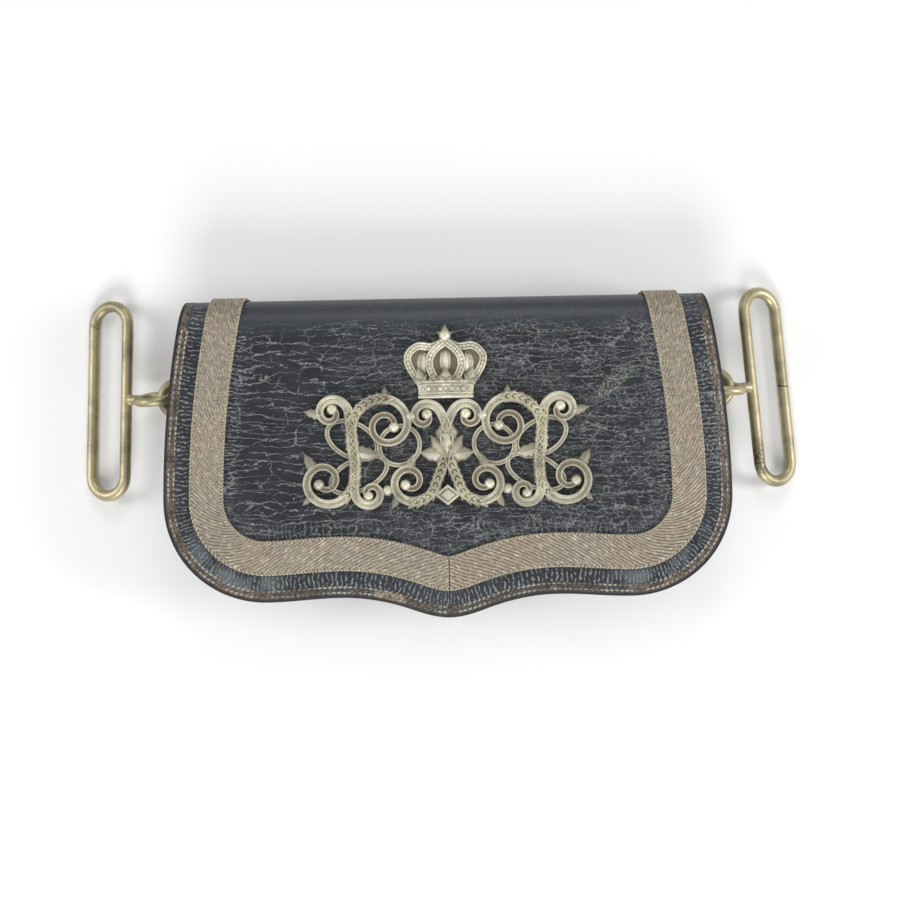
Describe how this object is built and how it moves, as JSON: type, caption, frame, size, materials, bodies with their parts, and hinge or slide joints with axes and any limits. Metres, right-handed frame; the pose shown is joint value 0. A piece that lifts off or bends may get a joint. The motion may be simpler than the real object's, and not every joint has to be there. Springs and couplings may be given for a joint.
{
  "type": "cross belt pouch",
  "caption": "Slim leather dress pouch lying on its back: a scalloped flap edged with metal lace bears a crown over scrollwork, and a slotted wire loop hinges at each side.",
  "frame": {"origin": "the middle of the flat back, which lies on the surface", "axes": "+X across the pouch to the right as seen from the flap, +Y up to the fold, +Z out of the flap"},
  "size_m": [0.249, 0.113, 0.0383],
  "materials": {
    "flap_leather": "crazed gloss",
    "case_leather": "smooth",
    "metal_lace": "woven, tarnished",
    "badge_silver": "tarnished cast silver",
    "nickel": "worn polished"
  },
  "bodies": {
    "pouch": {"flap": "flap_leather", "box": "case_leather", "closing_tab": "case_leather", "lace_left": "metal_lace", "lace_right": "metal_lace", "badge_crown": "badge_silver", "badge_scrollwork": "badge_silver", "staple_left": "nickel", "staple_right": "nickel"},
    "left_loop": {"loop_left": "nickel"},
    "right_loop": {"loop_right": "nickel"}
  },
  "joints": [
    {"name": "left_loop_hinge", "type": "hinge", "parent": "pouch", "child": "left_loop", "pos_m": [-0.0982, 0.0095, 0.0135], "axis": [0, 1, 0], "range_deg": [-95, 110]},
    {"name": "right_loop_hinge", "type": "hinge", "parent": "pouch", "child": "right_loop", "pos_m": [0.0982, 0.0095, 0.0135], "axis": [0, -1, 0], "range_deg": [-95, 110]}
  ]
}
